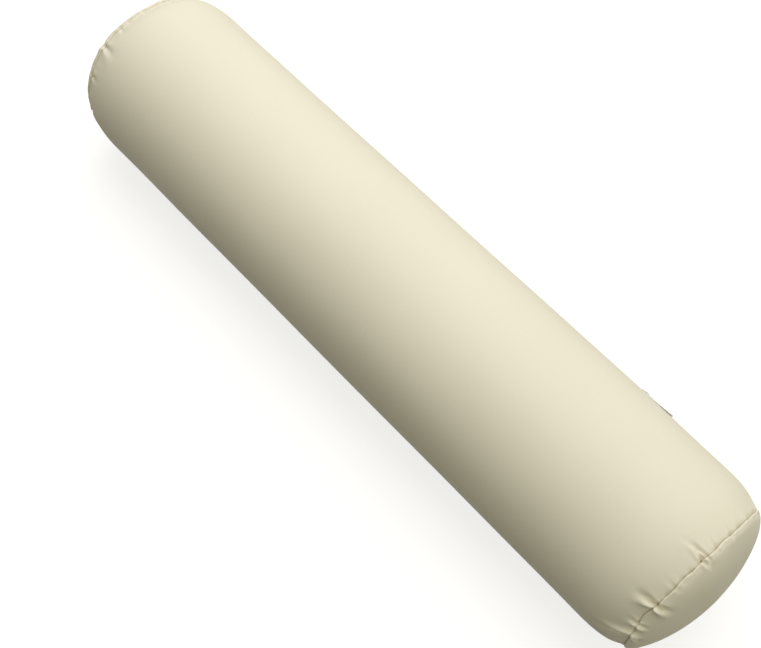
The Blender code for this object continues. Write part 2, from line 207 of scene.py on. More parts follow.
def vary(tree, shader, pattern, tones, roughs, span=(0.3, 0.7)):
    """Let a pattern's values, over a span of them, vary the tone and the roughness."""
    tint(tree, shader, remap(tree, pattern, *tones, *span))
    feed(tree, remap(tree, pattern, *roughs, *span), shader.inputs["Roughness"])


def cover_fabric():
    return woven(
        "cover_fabric", (0.802, 0.764, 0.642), 0.72, 0.38 * MM, 0.03 * MM, 0.012,
        Sheen_Weight=0.18, Sheen_Roughness=0.45, Sheen_Tint=(1.0, 0.98, 0.9, 1.0),
        Specular_IOR_Level=0.3,
    )


def liner_fabric():
    return woven(
        "liner_fabric", (0.82, 0.82, 0.80), 0.85, 0.6 * MM, 0.05 * MM, 0.03,
        Sheen_Weight=0.1, Specular_IOR_Level=0.2,
    )


def zip_fabric():
    return woven(
        "zip_tape", (0.70, 0.66, 0.51), 0.8, 0.7 * MM, 0.08 * MM, 0.04,
        Sheen_Weight=0.15, Specular_IOR_Level=0.25,
    )


def twisted_thread():
    """Sewing thread: the twist of its plies shows as slanting ribs."""
    material, tree, shader = new_material(
        "sewing_thread", (0.74, 0.70, 0.55), 0.6, Sheen_Weight=0.3, Specular_IOR_Level=0.35)
    ribs = tree.nodes.new("ShaderNodeTexWave")
    ribs.bands_direction = "DIAGONAL"
    ribs.inputs["Scale"].default_value = 900.0
    ribs.inputs["Distortion"].default_value = 0.6
    feed(tree, place_coordinates(tree), ribs.inputs["Vector"])
    vary(tree, shader, ribs.outputs["Fac"], (0.86, 1.04), (0.7, 0.5), (0.0, 1.0))
    bump(tree, shader, ribs.outputs["Fac"], 0.05 * MM, 0.5)
    return material


def coil_nylon():
    """Drawn nylon, with fine uneven lines."""
    material, tree, shader = new_material(
        "zip_coil", (0.72, 0.69, 0.56), 0.35, Specular_IOR_Level=0.5, Coat_Weight=0.1)
    lines = noise(tree, place_coordinates(tree), 700.0, 2.0)
    vary(tree, shader, lines, (0.93, 1.04), (0.28, 0.44))
    bump(tree, shader, lines, 0.02 * MM, 0.3)
    return material


def plated_metal():
    """Nickel-plated die casting, with a faint grain and duller handled places."""
    material, tree, shader = new_material(
        "zip_metal", (0.50, 0.49, 0.47), 0.3, 1.0, Specular_IOR_Level=0.5)
    grain = noise(tree, place_coordinates(tree), 1400.0, 3.0)
    wear = noise(tree, place_coordinates(tree), 260.0, 3.0)
    vary(tree, shader, wear, (0.86, 1.06), (0.22, 0.42))
    bump(tree, shader, grain, 0.02 * MM, 0.3)
    return material


def polyester_fill():
    """Loose carded fibre: fine tangled strands."""
    material, tree, shader = new_material(
        "fibre_fill", (0.88, 0.88, 0.86), 0.95, Sheen_Weight=0.4, Specular_IOR_Level=0.1)
    strands = noise(tree, place_coordinates(tree), 420.0, 6.0, 0.7)
    tint(tree, shader, remap(tree, strands, 0.84, 1.06))
    bump(tree, shader, strands, 1.0 * MM, 0.7)
    return material


# ---------------- mesh helpers


def add_object(name, data):
    item = bpy.data.objects.new(name, data)
    bpy.context.scene.collection.objects.link(item)
    return item


def add_piece(name, mesh, material, body="cushion", replaced=None):
    """Put a mesh in the scene as a piece that rides on a body."""
    mesh.materials.append(material)
    mesh.shade_smooth()
    piece = add_object(name, mesh)
    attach(piece, body)
    if replaced:
        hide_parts(replaced)
    return piece


def grid_faces(rows, columns, wrap):
    """Quads of a grid whose rows run outward-facing; wrap joins its last column to its first."""
    index = np.arange(rows * columns).reshape(rows, columns)
    across = np.roll(index, -1, axis=1) if wrap else index[:, 1:]
    here = index if wrap else index[:, :-1]
    quads = np.stack([here[:-1], across[:-1], across[1:], here[1:]], axis=-1)
    return quads.reshape(-1, 4)


def strip_faces(low, high, first_low, first_high, wrap):
    """Faces between two rows of vertices, from each column that both rows hold to the next."""
    shared = np.intersect1d(low, high)
    at_low = np.searchsorted(low, shared)
    at_high = np.searchsorted(high, shared)
    if wrap:
        at_low = np.append(at_low, len(low))
        at_high = np.append(at_high, len(high))
    faces = []
    for i in range(len(at_low) - 1):
        lower = [first_low + k % len(low) for k in range(at_low[i], at_low[i + 1] + 1)]
        upper = [first_high + k % len(high) for k in range(at_high[i], at_high[i + 1] + 1)]
        faces.append(lower + upper[::-1])
    return faces


def laced(points, cloth_uv, kept, wrap):
    """Vertices, cloth coordinates and faces of a grid whose rows keep only some columns.

    kept lists each row's columns.  A coarse row meets a fine one in many-sided faces.
    """
    verts = np.concatenate([row[columns] for row, columns in zip(points, kept)])
    uvs = np.concatenate([row[columns] for row, columns in zip(cloth_uv, kept)])
    faces = []
    first = 0
    for low, high in zip(kept[:-1], kept[1:]):
        faces += strip_faces(low, high, first, first + len(low), wrap)
        first += len(low)
    return verts, uvs, faces


def close_tip(verts, faces, first, columns, tip, start=False):
    """Fan the ring that starts at a vertex to a tip past a grid's last row, or its start."""
    verts.append(tip)
    for column in range(columns):
        pair = [first + column, first + (column + 1) % columns]
        faces.append((pair[::-1] if start else pair) + [len(verts) - 1])


def capped(points, both_ends=False):
    """Vertices and faces of a turned grid, closed with a tip past its last row, or both."""
    rows, columns, _ = points.shape
    verts = points.reshape(-1, 3).tolist()
    faces = grid_faces(rows, columns, True).tolist()
    tips = points.mean(axis=1).tolist()
    close_tip(verts, faces, (rows - 1) * columns, columns, tips[-1])
    if both_ends:
        close_tip(verts, faces, 0, columns, tips[0], start=True)
    return verts, faces


def flipped(faces):
    return [face[::-1] for face in faces]


def build_mesh(name, verts, faces, cloth_uv=None):
    """A mesh from arrays, with the cloth coordinates of each vertex as its UV map."""
    mesh = bpy.data.meshes.new(name)
    mesh.from_pydata(np.asarray(verts).tolist(), [], [list(face) for face in faces])
    if cloth_uv is not None:
        layer = mesh.uv_layers.new(name="cloth")
        corners = np.empty(len(mesh.loops), dtype=np.int32)
        mesh.loops.foreach_get("vertex_index", corners)
        layer.data.foreach_set("uv", np.asarray(cloth_uv)[corners].astype(np.float32).ravel())
    mesh.update()
    return mesh


def thicken(piece, thickness=CLOTH):
    """Give a piece's outer face its cloth thickness, inwards."""
    solidify = piece.modifiers.new("cloth", "SOLIDIFY")
    solidify.thickness = thickness
    solidify.offset = -1.0


def tubes(name, paths, normals, radii, sides):
    """Closed tubes, one for each path: paths and normals are tubes x stations x 3."""
    count, stations, _ = paths.shape
    tangents = np.gradient(paths, axis=1)
    tangents /= np.linalg.norm(tangents, axis=2, keepdims=True)
    across = np.cross(tangents, normals)
    across /= np.linalg.norm(across, axis=2, keepdims=True)
    up = np.cross(across, tangents)
    turn = full_turn(sides)
    ring = (across[:, :, None] * np.cos(turn)[None, None, :, None]
            + up[:, :, None] * np.sin(turn)[None, None, :, None])
    verts = paths[:, :, None] + ring * np.broadcast_to(radii, (count, stations))[..., None, None]
    quads = grid_faces(stations, sides, True)
    size = stations * sides
    faces = (quads[None] + (np.arange(count) * size)[:, None, None]).reshape(-1, 4).tolist()
    cap = np.arange(sides)
    for start in range(0, count * size, size):
        faces.append((start + cap[::-1]).tolist())
        faces.append((start + size - sides + cap).tolist())
    return build_mesh(name, verts.reshape(-1, 3), faces)


def full_turn(count):
    return np.linspace(0.0, 2 * math.pi, count, endpoint=False)


def arc_length(x, y):
    """Distance along a line of points from its start."""
    return np.concatenate([[0.0], np.cumsum(np.hypot(np.diff(x), np.diff(y)))])


def smoothstep(value):
    value = np.clip(value, 0.0, 1.0)
    return value * value * (3.0 - 2.0 * value)


# ---------------- shape of the stuffed cover


def tube_radius(x):
    """Radius of the stuffed tube at a distance from its middle."""
    along = np.clip((np.abs(x) - (SEAM_X - ROLL_IN)) / ROLL_IN, 0.0, None)
    return RADIUS - (RADIUS - SEAM_RADIUS) * along ** ROLL_POWER


# distances of the cover's rows from an end seam, closer together near the seam
EDGE_ROWS = np.array([
    0.0, 0.15, 0.3, 0.5, 0.8, 1.2, 1.8, 2.6, 3.6, 4.8, 6.2, 7.8, 9.6, 11.6, 13.8, 16.2, 18.8,
    21.6, 24.6, 28, 32, 36.5, 41.5, 47, 53, 60, 68]) * MM
PANEL_EDGE_ROWS = 18          # how many of them the end panels have


def dome_point(turn):
    """Distance out from the seam and radius of the plain dome, for a turn of 0 to pi/2."""
    out = DOME_HEIGHT * np.sin(turn) ** (2 / DOME_POWER)
    return out, SEAM_RADIUS * np.cos(turn) ** (2 / DOME_POWER)


def dome_profile():
    """(out, radius, arc length from the seam) of the end panel's rows, and the whole arc."""
    out, radius = dome_point(np.linspace(0.0, math.pi / 2, 4000))
    arc = arc_length(out, radius)
    rim = EDGE_ROWS[:PANEL_EDGE_ROWS]
    away = np.concatenate([rim, np.linspace(rim[-1], arc[-1] - 1.5 * MM, 22)[1:]])
    return np.interp(away, arc, out), np.interp(away, arc, radius), away, arc[-1]


DOME_OUT, DOME_RADIUS, DOME_AWAY, DOME_REACH = dome_profile()


def wave_field(count, longest, shortest):
    """Random gentle waves over the tube: amplitude, phase, and waves along and around."""
    waves = []
    for _ in range(count):
        along = RNG.uniform(-1, 1) * 2 * math.pi / RNG.uniform(shortest, longest)
        around = RNG.randint(0, int(2 * math.pi * RADIUS / shortest))
        waves.append((RNG.uniform(0.4, 1.0), RNG.uniform(0, 2 * math.pi), along, around))
    return waves


def wave_height(waves, x, angle):
    """Sum of the waves, about -1 to 1."""
    total = np.zeros(np.broadcast(x, angle).shape)
    for amplitude, phase, along, around in waves:
        total = total + amplitude * np.cos(along * x + around * angle + phase)
    return total / math.sqrt(len(waves))


STUFFING = wave_field(14, 260 * MM, 60 * MM)


@dataclass
class Pucker:
    """A fold that runs from an end seam into the sleeve and the end panel; lengths in mm."""

    angle: float                 # degrees
    depth: float
    width: float
    length: float                # on the sleeve
    cap_length: float            # on the end panel
    lean: float = 0.0            # sideways drift over the fold's length
    low_side: float = 0.5        # ridge beside the valley, at smaller angles
    high_side: float = 0.5       # and at larger ones
    seam: float = 0.45           # share of the depth that is left at the seam

    def height(self, away, angle, on_cap):
        """The fold's height at a distance from the seam."""
        along = away / (MM * (self.cap_length if on_cap else self.length))
        drift = self.lean * MM * along * (0.5 if on_cap else 1.0)
        offset = angle - math.radians(self.angle)
        side = np.arctan2(np.sin(offset), np.cos(offset)) * SEAM_RADIUS - drift
        width = self.width * MM * (0.55 + 0.75 * np.clip(along, 0.0, 1.5))
        valley = np.exp(-(side / width) ** 2)
        ridge = 1.25 * width
        low = self.low_side * np.exp(-((side + 1.7 * width) / ridge) ** 2)
        high = self.high_side * np.exp(-((side - 1.7 * width) / ridge) ** 2)
        share = self.seam + (1.0 - self.seam) * smoothstep(along / 0.3)
        fade = np.exp(-(along / 0.75) ** 2)
        return -self.depth * MM * share * fade * (valley - low - high)


# each end's puckers; the broad ones are where it is stuffed a little less or, with a
# negative depth, a little more
NEAR_PUCKERS = [
    Pucker(260, 2.4, 130, 10, 60, low_side=0, high_side=0, seam=0.2),
    Pucker(62, 0.5, 1.8, 7, 5),
    Pucker(75, 0.6, 2.0, 8, 5, lean=1),
    Pucker(89, 0.6, 1.8, 9, 6, lean=-1),
    Pucker(95.5, 2.2, 1.5, 14, 8, lean=4, low_side=0.3, high_side=0.4, seam=0.9),
    Pucker(100.0, 2.6, 1.6, 11, 8, lean=-4, low_side=0.2, high_side=0.6, seam=0.9),
    Pucker(121, 0.35, 2.0, 8, 6),
    Pucker(136.5, 5.4, 2.5, 13, 12, low_side=0.1, high_side=0.6, seam=0.85),
    Pucker(155, 2.8, 1.7, 7, 6, low_side=0.3, high_side=0.9, seam=0.9),
    Pucker(167, 5.4, 2.6, 22, 8, lean=12, low_side=0.7, high_side=0.2, seam=0.9),
    Pucker(186, 1.0, 2.6, 14, 10),
    Pucker(205, 1.6, 3.2, 18, 12, lean=2),
    Pucker(228, 1.0, 2.4, 12, 8),
    Pucker(300, 1.2, 3.0, 14, 9, lean=-2),
    Pucker(327, 0.8, 2.2, 10, 7),
    Pucker(350, 1.5, 3.0, 17, 11, lean=2, high_side=0.7),
    Pucker(9, 0.8, 2.4, 11, 7),
    Pucker(38, 0.9, 2.6, 12, 9, lean=-1),
]
FAR_PUCKERS = [
    Pucker(84, 2.8, 55, 10, 42, low_side=0, high_side=0, seam=0.35),
    Pucker(40, -2.4, 42, 60, 30, low_side=0, high_side=0, seam=1.0),
    Pucker(126, 2.0, 3.2, 17, 12, lean=-1, low_side=0.3, high_side=0.6, seam=0.7),
    Pucker(109, 0.9, 2.4, 10, 8),
    Pucker(88, 0.6, 2.2, 9, 7),
    Pucker(66, 1.1, 2.6, 13, 9, lean=2),
    Pucker(41, 0.6, 2.0, 8, 6),
    Pucker(16, 1.4, 3.0, 16, 11, lean=-2, high_side=0.7),
    Pucker(352, 0.7, 2.2, 9, 7),
    Pucker(331, 1.6, 3.2, 18, 12, lean=2),
    Pucker(303, 0.9, 2.6, 11, 8),
    Pucker(233, 1.3, 2.8, 14, 10, lean=-1),
    Pucker(209, 0.8, 2.2, 10, 8),
    Pucker(188, 1.7, 3.0, 18, 12, lean=2, low_side=0.7),
    Pucker(169, 0.7, 2.2, 10, 7),
    Pucker(150, 1.1, 2.6, 13, 9, lean=-2),
]
PUCKERS = {1: NEAR_PUCKERS, -1: FAR_PUCKERS}


def ripple(count, fewest, most):
    """A random line of small waves round an end seam."""
    return [(RNG.uniform(0.4, 1.0), RNG.uniform(0, 2 * math.pi), RNG.randint(fewest, most))
            for _ in range(count)]


def ripple_height(waves, angle):
    total = sum(a * np.cos(n * angle + phase) for a, phase, n in waves)
    return total / math.sqrt(len(waves))


GATHERS = {end: ripple(9, 26, 72) for end in (1, -1)}
GATHER_STRENGTH = {end: ripple(4, 2, 7) for end in (1, -1)}
SEAM_WANDER = {end: ripple(7, 3, 30) for end in (1, -1)}
SEAM_GAPE = {end: ripple(10, 12, 70) for end in (1, -1)}


def seam_relief(end, away, angle, on_cap):
    """Puckers and fine gathers beside an end seam."""
    height = sum(p.height(away, angle, on_cap) for p in PUCKERS[end])
    strength = 0.55 + 0.45 * ripple_height(GATHER_STRENGTH[end], angle)
    reach = (5 if on_cap else 7) * MM
    gathers = ripple_height(GATHERS[end], angle) * np.clip(strength, 0.05, 1.3)
    return height + 0.17 * MM * gathers * np.exp(-(away / reach) ** 2)


def bulge(angle, middle, spread):
    """A smooth hump round the pillow: 1 at an angle in degrees, fading over a spread."""
    offset = angle - math.radians(middle)
    offset = np.arctan2(np.sin(offset), np.cos(offset))
    return np.exp(-(offset / math.radians(spread)) ** 2)


GROOVE_DEPTH = 1.1 * MM       # where the seam is tight; it is deeper where it gapes
STITCH_PINCH = 0.12 * MM      # the seam is drawn in at each stitch
LIP_HEIGHT = 0.5 * MM         # of the end panel's rim


def seam_groove(end, away, angle, on_cap):
    """Both fabrics dive into the end seam, more openly in some places than in others.

    The end panel's rim stands up a little beside it.
    """
    # the far end's seam is drawn closer on top
    loose = 1.0 if end > 0 else 1.0 - 0.55 * bulge(angle, 110, 62)
    gape = loose * np.clip(0.75 + 1.15 * ripple_height(SEAM_GAPE[end], angle), 0.05, 2.4)
    width = (0.4 if on_cap else 0.7) * MM * (0.45 + 0.75 * gape)
    groove = -GROOVE_DEPTH * (loose + gape) * np.exp(-(away / width) ** 1.2)
    pinch = STITCH_PINCH * np.cos(STITCHES_ROUND * angle) * np.exp(-(away / (1.8 * MM)) ** 2)
    if on_cap:
        lip = (away - 1.3 * MM) / (0.9 * MM)
        groove = groove + LIP_HEIGHT * loose * np.exp(-lip ** 2)
    return groove + pinch


def seam_shift(end, angle):
    """How far the end seam wanders along the pillow."""
    shift = 0.35 * MM * ripple_height(SEAM_WANDER[end], angle)
    if end > 0:
        # sewn a little further out on top, and drawn back beside the deepest pucker
        shift = shift + 2.1 * MM * bulge(angle, 68, 45) - 2.4 * MM * bulge(angle, 147, 8)
    return shift


def soft_floor(value, floor, softness):
    """Values pressed up to a floor, with a gentle bend where they meet it."""
    over = value - floor
    return floor + (over + np.sqrt(over * over + softness ** 2)) / 2


DROOP = 1.2 * MM
DROOP_START = 235 * MM        # from the pillow's middle
DROOP_LENGTH = 110 * MM


def settle(points, floor=0.0):
    """The ends droop a little to one side, and the weight flattens the underside."""
    points = np.array(points, dtype=float)
    bow = smoothstep((np.abs(points[..., 0]) - DROOP_START) / DROOP_LENGTH)
    points[..., 1] -= DROOP * bow
    points[..., 2] = soft_floor(points[..., 2], floor, 1.2 * MM)
    return points


def around_axis(x, radius, angle):
    return np.stack([
        x + 0 * angle,
        radius * np.cos(angle),
        AXIS_HEIGHT + radius * np.sin(angle),
    ], axis=-1)


def at_each_end(x, value):
    """value(1) on the near half of the pillow and value(-1) on the far half."""
    return np.where(x >= 0, value(1), value(-1))


def sleeve_radius(x, angle, swell):
    """Radius of the finished sleeve, without its long seam."""
    away = SEAM_X - np.abs(x)
    radius = tube_radius(x) + swell(x, angle)
    radius = radius + 0.28 * MM * wave_height(STUFFING, x, angle) * smoothstep(away / (25 * MM))
    radius = radius + at_each_end(x, lambda end: seam_relief(end, away, angle, False))
    # the sleeve is drawn in a little on its +Y side towards the near end
    drawn = smoothstep((x - 180 * MM) / (100 * MM)) * np.clip(np.cos(angle - 0.4), 0, 1) ** 2
    radius = radius - 1.2 * MM * drawn * smoothstep(away / (40 * MM))
    return radius + at_each_end(x, lambda end: seam_groove(end, away, angle, False))


# ---------------- cloth simulation

CASING_COLUMNS = 128
CASING_FRAMES = 24
CASING_CLOTH = {
    "quality": 8, "mass": 0.3, "use_pressure": True, "uniform_pressure_force": 4.0,
    "tension_stiffness": 40.0, "compression_stiffness": 40.0, "shear_stiffness": 16.0,
    "bending_stiffness": 0.2, "tension_damping": 4.0, "compression_damping": 4.0,
    "shear_damping": 4.0, "air_damping": 2.0, "vertex_group_mass": "seams",
}
MOST_MOVE = 3.0 * MM          # cap on how far the simulation may move the cloth


def casing_runs():
    """Signed distances of the casing's rows from its middle, along it through both seams."""
    sleeve = [0.0]
    step = 3.5 * MM
    while sleeve[-1] < SEAM_X - 6 * MM:
        sleeve.append(sleeve[-1] + step)
        step = min(step * 1.1, 11 * MM)
    sleeve = SEAM_X - np.array(sleeve) / sleeve[-1] * SEAM_X
    panel = SEAM_X + np.arange(3.5 * MM, DOME_REACH - 4 * MM, 4.5 * MM)
    half = np.concatenate([sleeve[::-1], panel])
    return np.concatenate([-half[::-1], half[1:]])


def casing_point(run, angle):
    """The stuffed casing before it settles, at a distance along it and an angle."""
    beyond = np.abs(run) - SEAM_X
    on_cap = beyond > 0
    cap_out = np.interp(beyond, DOME_AWAY, DOME_OUT)
    cap_radius = np.interp(beyond, DOME_AWAY, DOME_RADIUS)
    radius = np.where(on_cap, cap_radius, tube_radius(run))
    x = np.where(on_cap, np.where(run >= 0, 1, -1) * (SEAM_X + cap_out), run)
    away = np.abs(beyond)
    sleeve_relief = at_each_end(run, lambda end: seam_relief(end, away, angle, False))
    panel_relief = at_each_end(run, lambda end: seam_relief(end, away, angle, True))
    relief = np.where(on_cap, panel_relief, sleeve_relief)
    lumps = 0.5 * MM * wave_height(STUFFING, run, angle) * smoothstep(away / (20 * MM))
    return around_axis(x + 0 * angle, radius + relief + lumps, angle + 0 * run)


def add_ground():
    """What the casing rests on, just under the floor by its own thickness."""
    square = [(-1, -1, -MM), (1, -1, -MM), (1, 1, -MM), (-1, 1, -MM)]
    ground = add_object("ground", build_mesh("ground", square, [(0, 1, 2, 3)]))
    ground.modifiers.new("hold", "COLLISION")
    ground.collision.thickness_outer = 1.0 * MM
    return ground


def stuff_casing():
    """Inflate the casing on the floor, held at its two seams; returns how far it moves.

    The result is a function of a distance along the casing and an angle.
    """
    runs = casing_runs()
    angles = full_turn(CASING_COLUMNS)
    start = settle(casing_point(runs[:, None], angles[None, :]))
    casing = add_object("casing", build_mesh("casing", *capped(start, both_ends=True)))
    held = casing.vertex_groups.new(name="seams")
    for row in np.nonzero(np.abs(np.abs(runs) - SEAM_X) < 0.01 * MM)[0]:
        first = int(row) * CASING_COLUMNS
        held.add(list(range(first, first + CASING_COLUMNS)), 1.0, "REPLACE")
    cloth = casing.modifiers.new("stuffing", "CLOTH")
    for name, value in CASING_CLOTH.items():
        setattr(cloth.settings, name, value)
    cloth.settings.effector_weights.gravity = 0.0
    cloth.collision_settings.use_self_collision = False
    cloth.collision_settings.distance_min = 1.0 * MM
    ground = add_ground()
    scene = bpy.context.scene
    scene.frame_start = 1
    scene.frame_end = CASING_FRAMES
    cloth.point_cache.frame_end = CASING_FRAMES
    for step in range(1, CASING_FRAMES + 1):
        scene.frame_set(step)
    settled = casing.evaluated_get(bpy.context.evaluated_depsgraph_get()).data
    moved = np.empty(len(settled.vertices) * 3, dtype=np.float32)
    settled.vertices.foreach_get("co", moved)
    for item in (casing, ground):
        bpy.data.objects.remove(item)
    scene.frame_set(1)
    moved = moved[:start.size].reshape(start.shape)
    return smooth_move(runs, angles, start, moved - start)


def smooth_move(runs, angles, start, move):
    """Movement out of the surface, capped and smoothed on a fine even grid, as a function."""
    across = np.roll(start, -1, axis=1) - np.roll(start, 1, axis=1)
    along = np.gradient(start, axis=0)
    normal = np.cross(across, along)
    normal /= np.linalg.norm(normal, axis=2, keepdims=True)
    out = np.clip((move * normal).sum(axis=2), -MOST_MOVE, MOST_MOVE)
    even = np.arange(runs[0], runs[-1], MM)
    fine_angles = 720
    spectrum = np.fft.rfft(out, axis=1)
    wide = np.fft.irfft(spectrum, n=fine_angles, axis=1) * fine_angles / len(angles)
    dense = np.stack([np.interp(even, runs, wide[:, i]) for i in range(fine_angles)], axis=1)
    window = np.exp(-(np.arange(-9, 10) / 4.0) ** 2)
    window /= window.sum()
    padded = np.pad(dense, ((9, 9), (0, 0)), mode="edge")
    dense = sum(w * padded[i:i + len(even)] for i, w in enumerate(window))

    def swell(run, angle):
        run, angle = np.broadcast_arrays(run, angle)
        row = np.clip((run - even[0]) / MM, 0, len(even) - 1.001)
        column = (angle % (2 * math.pi)) / (2 * math.pi) * fine_angles
        r0 = row.astype(int)
        c0 = column.astype(int) % fine_angles
        c1 = (c0 + 1) % fine_angles
        fr = row - r0
        fc = column - np.floor(column)
        low = dense[r0, c0] * (1 - fc) + dense[r0, c1] * fc
        high = dense[r0 + 1, c0] * (1 - fc) + dense[r0 + 1, c1] * fc
        return low * (1 - fr) + high * fr
    return swell


def no_swell(x, angle):
    return 0.0 * (x + angle)


# ---------------- cover pieces

COARSE_COLUMNS = 70           # half way round the sleeve, away from its ends
COARSENING = 4                # columns near the ends for each one further in
FINE_REACH = 48 * MM          # length beside each end seam that has the fine columns
# distances across the cloth from the strip's edge, for its first columns
NEAR_EDGE = np.array([0.0, 0.12, 0.3, 0.55, 0.9, 1.3, 1.8, 2.2, 2.6, 3.0, 3.5, 4.2, 5.2, 6.6]) * MM
# the strip's edge is folded under beside the zip, and turned straight in past it: distance
# back under the fabric, and depth, for each added column
HEM = np.array([(3.2, 1.75), (1.6, 1.7), (0.5, 1.45), (0.08, 0.95), (-0.03, 0.5)]) * MM
SEAM_TURN = np.array([(0.0, 6.5), (0.0, 4.0), (0.0, 2.4), (0.0, 1.4), (0.0, 0.7)]) * MM


def edge_columns():
    """Distances from the strip's edge to its middle, closer together near the edge."""
    far = np.linspace(NEAR_EDGE[-1], math.pi * RADIUS, COARSE_COLUMNS * COARSENING + 1)
    return np.concatenate([NEAR_EDGE, far[1:]])


def sleeve_rows():
    """Distances along the pillow of the sleeve's rows of vertices."""
    half = SEAM_X - EDGE_ROWS[::-1]
    before = SLOT_CLOSE_START - 6 * MM
    plain = np.arange(0.0, before, 8 * MM)
    closing = np.arange(before, SLOT_CLOSE_START + SLOT_CLOSING + 4 * MM, 1.5 * MM)
    beyond = np.linspace(closing[-1] + 2 * MM, half[0], 5)[:-1]
    positive = np.concatenate([plain, closing, beyond, half])
    return np.concatenate([-positive[::-1], positive[1:]])


def slot_share(x):
    """1 along the zip, 0 where the two folded edges have met."""
    return 1.0 - smoothstep((np.abs(x) - SLOT_CLOSE_START) / SLOT_CLOSING)


def sleeve_half(side, x, out, swell):
    """Angles and radii of the strip's half on one side of the zip, its edge's columns first."""
    share = slot_share(x)
    half_gap = CLOSED_GAP + (LIP - CLOSED_GAP) * share
    lateral = out[None, :] + half_gap * np.exp(-out[None, :] / (26 * MM))
    angle = ZIP_ANGLE + side * lateral / RADIUS
    radius = sleeve_radius(x, angle, swell)
    lip_drop = 0.55 * MM * np.exp(-out / (0.75 * MM))[None, :]
    row = (lateral - TOPSTITCH) / (0.55 * MM)
    stitched = 0.28 * MM * share * np.exp(-row ** 2)
    radius = radius - lip_drop - stitched
    back = share * HEM[:, 0] + (1 - share) * SEAM_TURN[:, 0]
    down = share * HEM[:, 1] + (1 - share) * SEAM_TURN[:, 1]
    edge_angle = ZIP_ANGLE + side * (half_gap + back) / RADIUS
    edge_radius = radius[:, :1] - down
    return (np.concatenate([edge_angle, angle], axis=1),
            np.concatenate([edge_radius, radius], axis=1))


def both_halves(first, second):
    """Join the two halves of the strip, which share the column half way round."""
    return np.concatenate([first, second[:, -2::-1]], axis=1)


def make_sleeve(material, swell):
    """The strip of fabric, from one edge of its long seam round to the other."""
    rows = sleeve_rows()
    x = rows[:, None]
    out = edge_columns()
    first_angle, first_radius = sleeve_half(1, x, out, swell)
    second_angle, second_radius = sleeve_half(-1, x, out, swell)
    angle = both_halves(first_angle, second_angle + 2 * math.pi)
    radius = both_halves(first_radius, second_radius)
    near_seam = smoothstep(1 - (SEAM_X - np.abs(x)) / (14 * MM))
    shift = at_each_end(x, lambda end: seam_shift(end, angle)) * near_seam
    points = settle(turn_in_rows(around_axis(x + shift, radius, angle), angle, radius, shift))

    along_cloth = np.concatenate([rows[0] - (2 * MM, MM), rows, rows[-1] + (MM, 2 * MM)])
    across_cloth = np.concatenate([-MM * np.arange(len(HEM), 0, -1), out])[None, :]
    across_cloth = both_halves(across_cloth, 2 * math.pi * RADIUS - across_cloth)
    uv = np.stack(np.broadcast_arrays(along_cloth[:, None], across_cloth), axis=-1)

    every = np.arange(points.shape[1])
    edge = len(HEM) + len(NEAR_EDGE)
    from_edge = np.minimum(every, every[::-1])
    coarse = every[(from_edge < edge) | ((from_edge - edge + 1) % COARSENING == 0)]
    kept = [every if near_end else coarse
            for near_end in np.abs(along_cloth) > SEAM_X - FINE_REACH]
    verts, uvs, faces = laced(points, uv, kept, False)
    mesh = build_mesh("sleeve", verts, faces, uvs)
    piece = add_piece("sleeve", mesh, material, replaced="cover_sleeve")
    thicken(piece)


def turn_in_rows(points, angle, radius, shift):
    """Add the seam allowance, turned in towards the axis at both ends of the sleeve."""
    turned = []
    for end, row in ((-1, 0), (1, -1)):
        x = end * (SEAM_X - ALLOWANCE_APART) + shift[row]
        turned.append([around_axis(x, radius[row] - depth, angle[row]) for depth in ALLOWANCE])
    return np.concatenate([np.stack(turned[0]), points, np.stack(turned[1][::-1])])


def panel_step(away):
    """Every how many columns an end panel's ring keeps, fewer towards its middle."""
    if away < 26 * MM:
        return 1
    return COARSENING if away < 62 * MM else 3 * COARSENING


def panel_surface(end, angle, swell):
    """Places along the pillow and radii of an end panel's outer face."""
    away = DOME_AWAY[:, None]
    out = DOME_OUT[:, None]
    plain = DOME_RADIUS[:, None]
    # relief acts square to the dome's surface, but straight out at its rim
    slope_out = np.gradient(DOME_OUT, DOME_AWAY)[:, None]
    slope_in = np.gradient(DOME_RADIUS, DOME_AWAY)[:, None]
    steep = np.hypot(slope_out, slope_in)
    rim = 1 - smoothstep(away / (3 * MM))
    normal_x = -slope_in / steep * (1 - rim)
    normal_r = slope_out / steep * (1 - rim) + rim
    relief = seam_relief(end, away, angle, True) + seam_groove(end, away, angle, True)
    lumps = 0.5 * MM * wave_height(STUFFING, end * (SEAM_X + out), angle)
    lumps = lumps * smoothstep(away / (20 * MM)) * smoothstep(plain / (30 * MM))
    push = relief + lumps + swell(end * (SEAM_X + away), angle)
    shift = seam_shift(end, angle) * smoothstep(1 - away / (14 * MM))
    return end * (SEAM_X + out + push * normal_x) + shift, plain + push * normal_r


